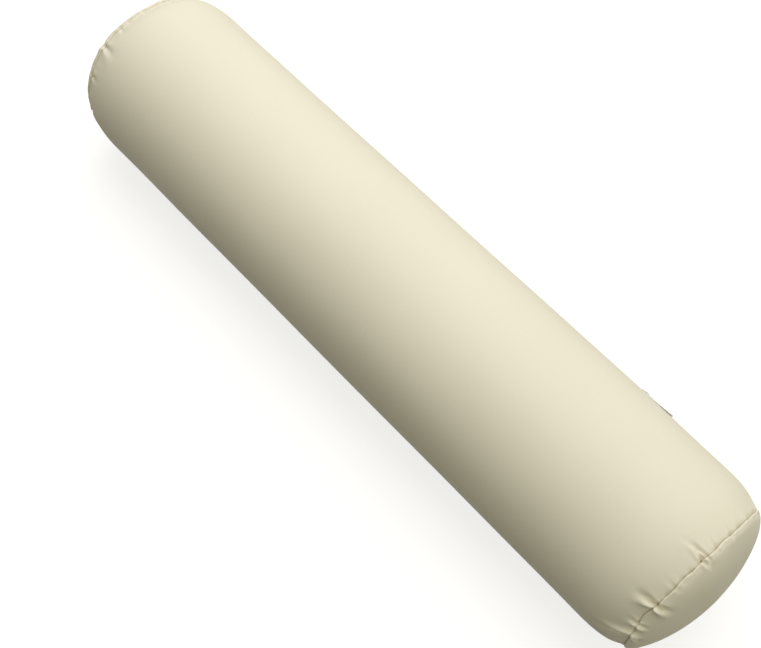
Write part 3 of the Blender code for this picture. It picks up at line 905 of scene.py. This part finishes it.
def make_end_panel(end, label, material, swell):
    """A domed disc with its seam allowance turned in."""
    columns = STITCHES_ROUND * COARSENING
    angle = full_turn(columns)[None, :]
    x, radius = panel_surface(end, angle, swell)
    turned_x = x[:1] + end * ALLOWANCE_APART
    x = np.concatenate([turned_x, turned_x, x])
    radius = np.concatenate([radius[:1] - depth for depth in ALLOWANCE] + [radius])
    points = settle(around_axis(x, radius, np.broadcast_to(angle, radius.shape)))
    from_tip = DOME_REACH - np.concatenate([[-2 * MM, -MM], DOME_AWAY])[:, None]
    uv = np.stack([from_tip * np.cos(angle), from_tip * np.sin(angle)], axis=-1)
    every = np.arange(columns)
    kept = [every[::panel_step(distance)] for distance in np.concatenate([[0.0, 0.0], DOME_AWAY])]
    verts, uvs, faces = laced(points, uv, kept, True)
    verts = verts.tolist()
    last = len(kept[-1])
    close_tip(verts, faces, len(verts) - last, last, points[-1].mean(axis=0).tolist())
    uvs = np.concatenate([uvs, [[0.0, 0.0]]])
    mesh = build_mesh("end_" + label, verts, faces if end > 0 else flipped(faces), uvs)
    piece = add_piece("end_" + label, mesh, material,
                      replaced="end_panel_" + label)
    thicken(piece)


# ---------------- stitches


def stitch_row(name, material, place, length, radius=THREAD, replaced=None):
    """Separate stitches along a line; place(distance) gives points and outward normals."""
    count = int(length / STITCH_PITCH)
    centres = (np.arange(count) + 0.5) * length / count
    reach = np.linspace(-0.42, 0.42, 9) * STITCH_PITCH   # the rest of it is under the cloth
    jitter = RNG.uniform(-0.05, 0.05, (count, 1)) * STITCH_PITCH
    distance = centres[:, None] + jitter + reach[None, :]
    points, normals = place(distance)
    ends = (reach / reach[-1]) ** 2
    points = points - normals * (ends ** 2 * 1.3 * radius)[None, :, None]
    radii = radius * np.sqrt(np.clip(1.02 - ends ** 3, 0.02, 1.0))
    mesh = tubes(name, points, normals, radii[None, :], 8)
    add_piece(name, mesh, material, replaced=replaced)


def outward(angle):
    return np.stack([0 * angle, np.cos(angle), np.sin(angle)], axis=-1)


def end_stitches(end, label, material, swell):
    """The end seam's thread, seen between the two fabrics in the groove."""
    def place(distance):
        angle = distance / SEAM_RADIUS
        on_seam = seam_relief(end, 0 * angle, angle, False)
        radius = SEAM_RADIUS - 1.5 * MM + on_seam + swell(end * SEAM_X + 0 * angle, angle)
        points = around_axis(end * SEAM_X + seam_shift(end, angle), radius, angle)
        return settle(points), outward(angle)
    name = "end_seam_stitches_" + label
    stitch_row(name, material, place, 2 * math.pi * SEAM_RADIUS, radius=0.16 * MM,
               replaced="end_seam_thread_" + label)


def straight_stitches(name, material, start, stop, angle, depth, swell, **stitch):
    """Stitches along the pillow at one angle, a little under the sleeve's outer face."""
    def place(distance):
        x = start + math.copysign(1.0, stop - start) * distance
        angles = np.full(distance.shape, angle)
        radius = sleeve_radius(x, angles, swell) - depth
        return settle(around_axis(x, radius, angles)), outward(angles)
    stitch_row(name, material, place, abs(stop - start), **stitch)


def long_seam_stitches(end, label, material, swell):
    """The long seam's thread, past either end of the zip."""
    straight_stitches(
        "long_seam_stitches_" + label, material, end * (SLOT_CLOSE_START + SLOT_CLOSING),
        end * (SEAM_X - 3 * MM), ZIP_ANGLE, 0.85 * MM, swell, radius=0.12 * MM,
        replaced="long_seam_thread_" + label)


def zip_topstitching(side, label, material, swell):
    """A row of stitches through the cover and the zip's tape."""
    reach = ZIP_HALF_LENGTH - 2 * MM
    straight_stitches(
        "zip_topstitching_" + label, material, -reach, reach,
        ZIP_ANGLE + side * TOPSTITCH / RADIUS, 0.12 * MM, swell,
        replaced="zip_stitching_" + label)


# ---------------- zip

ZIP_OUT = np.array([0.0, math.cos(ZIP_ANGLE), math.sin(ZIP_ANGLE)])
ZIP_DOWN = np.array([0.0, math.sin(ZIP_ANGLE), -math.cos(ZIP_ANGLE)])
ZIP_SIDES = ((-1, "upper"), (1, "lower"))


def from_zip(x, down, level):
    """Points from the zip's frame: along it, down the pillow's side, out from the axis."""
    x, down, level = np.broadcast_arrays(x, down, level)
    points = down[..., None] * ZIP_DOWN + level[..., None] * ZIP_OUT
    points[..., 0] = x
    points[..., 2] += AXIS_HEIGHT
    return points


TAPE_LEVEL = 74.1 * MM        # its underside below the coil, from the pillow's axis
TAPE_THICKNESS = 0.5 * MM
TAPE_EDGES = np.array([0.4, 4.6, 7.2, 13.5]) * MM   # inner, end of flat, end of climb, outer
TAPE_CLIMB = 2.55 * MM        # up to the underside of the fabric
TAPE_FALL = 0.9 * MM          # from there to the outer edge, as the fabric curves away
TAPE_CAUGHT = 6 * MM          # length of its ends that is caught in the long seam
COIL_LEVEL = 75.75 * MM       # middle of the coils, from the pillow's axis
COIL_PITCH = 1.3 * MM
COIL_WIRE = 0.25 * MM         # radius
COIL_MIDDLE = 1.93 * MM       # from the zip's middle
COIL_HALF_WIDTH = 1.32 * MM
COIL_HALF_HEIGHT = 0.5 * MM
COIL_STATIONS = 14            # for each turn
NECK_HALF_WIDTH = 0.25 * MM


def make_tape(side, label, material):
    """Woven tape: flat under the coil, then climbing to the underside of the fabric."""
    inner, flat, lip, outer = TAPE_EDGES
    reach = TAPE_HALF_LENGTH + TAPE_CAUGHT
    across = np.concatenate([
        np.linspace(inner, flat, 8), np.linspace(flat, lip, 6)[1:], np.linspace(lip, outer, 8)[1:]])
    climb = smoothstep((across - flat) / (lip - flat))
    x = np.linspace(-reach, reach, 180)[:, None]
    level = TAPE_LEVEL + climb * TAPE_CLIMB
    level = level - TAPE_FALL * smoothstep((across - lip) / (outer - lip))
    level = level + 0.06 * MM * np.sin(x / (9 * MM)) * climb
    over = from_zip(x, side * across, level + TAPE_THICKNESS)
    under = from_zip(x, side * across, level)[:, ::-1]
    points = np.concatenate([over, under], axis=1)
    rows, columns, _ = points.shape
    ring = list(range(columns))
    faces = grid_faces(rows, columns, True).tolist()
    faces += [ring[::-1], [(rows - 1) * columns + i for i in ring]]
    across_cloth = np.concatenate([across, across[::-1] + 20 * MM])
    uv = np.stack(np.broadcast_arrays(x, across_cloth[None, :]), axis=-1)
    mesh = build_mesh("tape_" + label, points.reshape(-1, 3),
                      faces if side > 0 else flipped(faces), uv.reshape(-1, 2))
    add_piece("tape_" + label, mesh, material, replaced="zip_tape_" + label)


def make_coil(side, label, material):
    """One coil: a flattened spiral of nylon, each turn a tooth with a thicker head."""
    turns = int((COIL_END - COIL_START - 2 * COIL_WIRE) / COIL_PITCH)
    turn = np.arange(turns * COIL_STATIONS + 1) / COIL_STATIONS
    phase = turn * 2 * math.pi
    start = COIL_START + COIL_WIRE + (COIL_PITCH / 2 if side > 0 else 0.0)
    x = start + turn / turns * (COIL_END - start - COIL_WIRE)
    down = side * (COIL_MIDDLE - COIL_HALF_WIDTH * np.cos(phase))
    path = from_zip(x, down, COIL_LEVEL + COIL_HALF_HEIGHT * np.sin(phase))
    centre = from_zip(x, side * COIL_MIDDLE, COIL_LEVEL)
    head = 0.5 + 0.5 * np.cos(phase)
    radii = COIL_WIRE * (1 + 0.18 * head ** 3)
    mesh = tubes("coil_" + label, path[None], (path - centre)[None], radii[None], 7)
    add_piece("coil_" + label, mesh, material, replaced="zip_coil_" + label)


def coil_stitching(side, label, material):
    """Two lines of thread that hold a coil to its tape, over every turn."""
    x = np.linspace(COIL_START + MM, COIL_END - MM, 1300)
    level = COIL_LEVEL + 0.72 * MM + 0.05 * MM * np.sin(x / COIL_PITCH * 2 * math.pi)
    paths = np.array([
        from_zip(x, side * across + 0.08 * MM * np.sin(x / (2.1 * MM)), level)
        for across in (2.1 * MM, 2.7 * MM)])
    normals = np.broadcast_to(ZIP_OUT, paths.shape)
    mesh = tubes("coil_stitching_" + label, paths, normals, 0.1 * MM, 5)
    add_piece("coil_stitching_" + label, mesh, material)


def slim_neck(mesh):
    """Thin the slider's neck, so that it runs clear between the heads of the closed coils."""
    places = np.empty(len(mesh.vertices) * 3, dtype=np.float32)
    mesh.vertices.foreach_get("co", places)
    places = places.reshape(-1, 3).astype(float)
    down = (places - (0.0, 0.0, AXIS_HEIGHT)) @ ZIP_DOWN
    level = (places - (0.0, 0.0, AXIS_HEIGHT)) @ ZIP_OUT
    low, high = TAPE_LEVEL - 0.6 * MM, COIL_LEVEL + 1.3 * MM
    neck = (np.abs(down) < 0.7 * MM) & (level > low) & (level < high)
    slimmer = np.sign(down) * NECK_HALF_WIDTH - down
    places[neck] += slimmer[neck, None] * ZIP_DOWN
    mesh.vertices.foreach_set("co", places.astype(np.float32).ravel())
    mesh.update()


def softened_copy(node, name, material, body, edge=0.15 * MM):
    """A metal piece from its CAD shape, with its edges rounded as castings are."""
    mesh = frame["nodes"][node].data.copy()
    mesh.materials.clear()
    if node == "zip_slider":
        slim_neck(mesh)
    piece = add_piece(name, mesh, material, body=body, replaced=node)
    merge = piece.modifiers.new("merge", "WELD")
    merge.merge_threshold = 0.005 * MM
    bevel = piece.modifiers.new("edges", "BEVEL")
    bevel.width = edge
    bevel.segments = 3
    bevel.limit_method = "ANGLE"
    bevel.angle_limit = math.radians(28)
    mesh.set_sharp_from_angle(angle=math.radians(50))


# ---------------- inner case and filling

LINER_INSET = 3.0 * MM        # from the cover's outer face
LINER_SEAM_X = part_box("liner_sleeve")[1].x
LINER_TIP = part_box("liner_end_right")[1].x
LINER_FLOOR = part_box("liner_sleeve")[0].z
FILL_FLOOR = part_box("fibre_filling")[0].z
FILL_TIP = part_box("fibre_filling")[1].x
LINER_CLOTH = 0.5 * MM
LINER_ZIP_LEVEL = 72.2 * MM   # from the axis; it keeps under the slider's lower plate
LINER_SHOULDER = 62.5 * MM    # radius where an end of the inner case starts to dome
FILL_INSET = LINER_INSET + LINER_CLOTH + 1.0 * MM
FILL_ZIP_LEVEL = LINER_ZIP_LEVEL - LINER_CLOTH - 0.6 * MM
FILL_RIM, FILL_SHOULDER = 66.0 * MM, 61.0 * MM
DOME_STEP = 2.2 * MM          # length over which an inner end steps in before it domes
INNER_COLUMNS = 192


def pressed(points, floor, zip_level):
    """Points of the inner case or its filling, flattened below and dented under the zip."""
    points = settle(points, floor)
    level = points @ ZIP_OUT - AXIS_HEIGHT * ZIP_OUT[2]
    lowered = -soft_floor(-level, -zip_level, 0.8 * MM)
    return points + (lowered - level)[..., None] * ZIP_OUT


def inner_tube_radius(x, inset):
    """Radius of the inner case; it narrows a little more than the cover at its ends."""
    return tube_radius(x) - inset - 1.2 * MM * smoothstep(1 - (SEAM_X - np.abs(x)) / (45 * MM))


def inner_dome(start_x, tip_x, base_radius, shoulder):
    """Profile of an inner end: it steps in past the cover's turned-in seam, then domes."""
    turn = np.linspace(0.0, math.pi / 2, 26)[:-1]
    dome_x = start_x + DOME_STEP
    x = dome_x + (tip_x - dome_x) * np.sin(turn) ** (2 / DOME_POWER)
    radius = shoulder * np.cos(turn) ** (2 / DOME_POWER)
    step_x = start_x + np.array([0.0, 0.7, 1.4]) * MM
    step_radius = [base_radius, base_radius - 1.4 * MM, (base_radius + shoulder) / 2]
    return np.concatenate([step_x, x]), np.concatenate([step_radius, radius])


def turned_points(x, radius, swell, height, floor, zip_level):
    """A turned profile with low lumps, pressed into place, and its cloth coordinates."""
    angle = full_turn(INNER_COLUMNS)[None, :]
    lumps = wave_height(STUFFING, x[:, None] * 1.7, angle * 2 + 1.0)
    fade = smoothstep(radius / (40 * MM))[:, None]
    wobble = (swell(x[:, None], angle) + height * lumps) * fade
    points = around_axis(x[:, None] + 0 * angle, radius[:, None] + wobble, angle + 0 * x[:, None])
    arc = arc_length(x, radius)
    uv = np.stack(np.broadcast_arrays(arc[:, None], angle * RADIUS), axis=-1)
    return pressed(points, floor, zip_level), uv.reshape(-1, 2)


def make_liner(material, thread, swell):
    """The inner case's tube and two ends, sewn like the cover."""
    x = np.linspace(-LINER_SEAM_X, LINER_SEAM_X, 150)
    radius = inner_tube_radius(x, LINER_INSET)
    points, uv = turned_points(x, radius, swell, 0.3 * MM, LINER_FLOOR, LINER_ZIP_LEVEL)
    faces = grid_faces(len(x), INNER_COLUMNS, True)
    mesh = build_mesh("inner_case_tube", points.reshape(-1, 3), faces, uv)
    tube = add_piece("inner_case_tube", mesh, material,
                     replaced="liner_sleeve")
    thicken(tube, LINER_CLOTH)
    rim = radius[-1] - 0.5 * MM
    for end, label in ((1, "right"), (-1, "left")):
        make_liner_end(end, label, rim, material)
        liner_stitches(end, label, rim, thread)


def make_liner_end(end, label, rim, material):
    """One of the inner case's domed ends."""
    x, radius = inner_dome(LINER_SEAM_X + 0.8 * MM, LINER_TIP, rim, LINER_SHOULDER)
    points, uv = turned_points(end * x, radius, no_swell, 0.2 * MM, LINER_FLOOR, LINER_ZIP_LEVEL)
    verts, faces = capped(points)
    uv = np.concatenate([uv, [[0.0, 0.0]]])
    mesh = build_mesh("inner_case_end_" + label, verts, faces if end > 0 else flipped(faces), uv)
    panel = add_piece("inner_case_end_" + label, mesh, material,
                      replaced="liner_end_" + label)
    thicken(panel, LINER_CLOTH)


def liner_stitches(end, label, rim, material):
    """The thread between the inner case's tube and one of its ends."""
    def place(distance):
        angle = distance / rim
        x = end * (LINER_SEAM_X + 0.4 * MM)
        ring = around_axis(x + 0 * angle, rim + 0.3 * MM + 0 * angle, angle)
        return pressed(ring, LINER_FLOOR, LINER_ZIP_LEVEL), outward(angle)
    stitch_row("inner_case_stitches_" + label, material, place, 2 * math.pi * rim,
               radius=0.15 * MM, replaced="liner_thread_" + label)


def make_filling(material, swell):
    """The stuffing: one soft lumpy mass."""
    edge = LINER_SEAM_X - 0.4 * MM
    tube_x = np.linspace(0.0, edge, 90)
    dome_x, dome_radius = inner_dome(LINER_SEAM_X, FILL_TIP, FILL_RIM, FILL_SHOULDER)
    half_x = np.concatenate([tube_x, dome_x])
    half_radius = np.concatenate([inner_tube_radius(tube_x, FILL_INSET), dome_radius])
    x = np.concatenate([-half_x[::-1], half_x[1:]])
    radius = np.concatenate([half_radius[::-1], half_radius[1:]])
    points, _ = turned_points(x, radius, swell, 0.35 * MM, FILL_FLOOR, FILL_ZIP_LEVEL)
    mesh = build_mesh("filling", *capped(points, both_ends=True))
    piece = add_piece("filling", mesh, material, replaced="fibre_filling")


# ---------------- camera, light and floor

# high over the near end, looking down along the pillow
CAMERA_PLACE = (0.3736, -0.3529, 0.9054 + AXIS_HEIGHT)
CAMERA_TOWARD = (-0.34887, 0.31636, -0.88216)
CAMERA_LENS = 58.58
KEY_REACH = 1.6
KEY_TURN = math.radians(69)   # from +Y towards +Z
KEY_SIZE = 1.8
KEY_POWER = 17.6
KEY_COLOUR = (1.0, 1.0, 1.08)
SKY_COLOUR = (1.0, 0.962, 0.725)
SKY_STRENGTH = (0.012, 0.525)
SKY_RISE = (-0.25, 0.077)     # over which the strength grows from the first to the second
FLOOR_FLAT = 3.0              # radius of the flat floor
FLOOR_BEND = 5.0              # radius of the sweep beyond it
FLOOR_COLUMNS = 96
FLOOR_GREY = (0.40, 0.40, 0.40)


def make_camera():
    camera = add_object("camera", bpy.data.cameras.new("camera"))
    camera.data.sensor_width = 36.0
    camera.data.lens = CAMERA_LENS
    camera.data.clip_start = 0.01
    camera.location = CAMERA_PLACE
    camera.rotation_euler = Vector(CAMERA_TOWARD).to_track_quat("-Z", "Y").to_euler()
    bpy.context.scene.camera = camera


def area_light(name, place, target, size, power, colour=(1.0, 1.0, 1.0)):
    data = bpy.data.lights.new(name, "AREA")
    data.shape = "DISK"
    data.size = size
    data.energy = power
    data.color = colour
    light = add_object(name, data)
    light.location = place
    direction = Vector(target) - Vector(place)
    light.rotation_euler = direction.to_track_quat("-Z", "Y").to_euler()


def make_world():
    """Even light from above, weaker from below, as over a pale table in a large room."""
    world = bpy.data.worlds.new("studio")
    bpy.context.scene.world = world
    world.use_nodes = True
    tree = world.node_tree
    rise = tree.nodes.new("ShaderNodeVectorMath")
    rise.operation = "DOT_PRODUCT"
    rise.inputs[1].default_value = (0.0, 0.35, 0.94)
    feed(tree, tree.nodes.new("ShaderNodeTexCoord").outputs["Generated"], rise.inputs[0])
    strength = remap(tree, rise.outputs["Value"], *SKY_STRENGTH, *SKY_RISE)
    background = tree.nodes["Background"]
    background.inputs["Color"].default_value = (*SKY_COLOUR, 1.0)
    feed(tree, strength, background.inputs["Strength"])


def make_lights():
    """One broad soft light over the pillow, a little to its +Y side, and a faint one at its end."""
    axis = (0.0, 0.0, AXIS_HEIGHT)
    over = (-0.3, KEY_REACH * math.cos(KEY_TURN), AXIS_HEIGHT + KEY_REACH * math.sin(KEY_TURN))
    area_light("key", over, axis, KEY_SIZE, KEY_POWER, KEY_COLOUR)
    area_light("end_fill", (1.6, -0.1, 0.5), (0.3, 0.0, AXIS_HEIGHT), 0.8, 0.8)
    bpy.context.scene.view_settings.view_transform = "Standard"


def floor_material():
    """Pale and partly self-lit, a little brighter far off, so that it has no horizon."""
    material, tree, shader = new_material("floor", FLOOR_GREY, 0.9, Specular_IOR_Level=0.1,
                                          Emission_Color=(1.0, 1.0, 1.0, 1.0))
    far = tree.nodes.new("ShaderNodeVectorMath")
    far.operation = "LENGTH"
    feed(tree, place_coordinates(tree), far.inputs[0])
    feed(tree, remap(tree, far.outputs["Value"], 0.74, 0.92, 0.8, 4.5),
         shader.inputs["Emission Strength"])
    tint(tree, shader, remap(tree, noise(tree, place_coordinates(tree), 6.0, 2.0), 0.99, 1.01))
    return material


def make_floor():
    """A plain floor that sweeps up far off into a backdrop all round, closed overhead."""
    rise = np.linspace(0.0, math.pi / 2, 40)
    edge = FLOOR_FLAT + FLOOR_BEND
    out = np.concatenate([[0.5, 1.5], FLOOR_FLAT + FLOOR_BEND * np.sin(rise), [edge, FLOOR_FLAT]])
    up = np.concatenate([[0.0, 0.0], FLOOR_BEND * (1 - np.cos(rise)),
                         [2 * FLOOR_BEND, 2.5 * FLOOR_BEND]])
    turn = full_turn(FLOOR_COLUMNS)
    points = np.stack([out[:, None] * np.cos(turn), -out[:, None] * np.sin(turn),
                       up[:, None] + 0 * turn], axis=-1)
    verts, faces = capped(points)
    faces.append(list(range(FLOOR_COLUMNS))[::-1])
    mesh = build_mesh("floor", verts, faces)
    mesh.materials.append(floor_material())
    mesh.shade_smooth()
    floor = add_object("floor", mesh)
    # light from below comes from the world, straight through the floor
    floor.visible_diffuse = False
    floor.visible_shadow = False


# ---------------- put together


def main():
    fabric = cover_fabric()
    thread = twisted_thread()
    tape = zip_fabric()
    nylon = coil_nylon()
    metal = plated_metal()
    swell = stuff_casing()

    make_sleeve(fabric, swell)
    for end, label in ((1, "right"), (-1, "left")):
        make_end_panel(end, label, fabric, swell)
        end_stitches(end, label, thread, swell)
        long_seam_stitches(end, label, thread, swell)
    for side, label in ZIP_SIDES:
        zip_topstitching(side, label, thread, swell)
        make_tape(side, label, tape)
        make_coil(side, label, nylon)
        coil_stitching(side, label, thread)
        softened_copy("zip_top_stop_" + label, "top_stop_" + label, metal, "cushion", 0.35 * MM)
    softened_copy("zip_bottom_stop", "bottom_stop", metal, "cushion", 0.45 * MM)
    softened_copy("zip_slider", "slider_body", metal, "slider")
    softened_copy("zip_pull_tab", "tab", metal, "pull_tab", 0.25 * MM)
    make_liner(liner_fabric(), thread, swell)
    make_filling(polyester_fill(), swell)
    make_camera()
    make_world()
    make_lights()
    make_floor()


main()


def corners(box):
    return [list(corner) for corner in box]
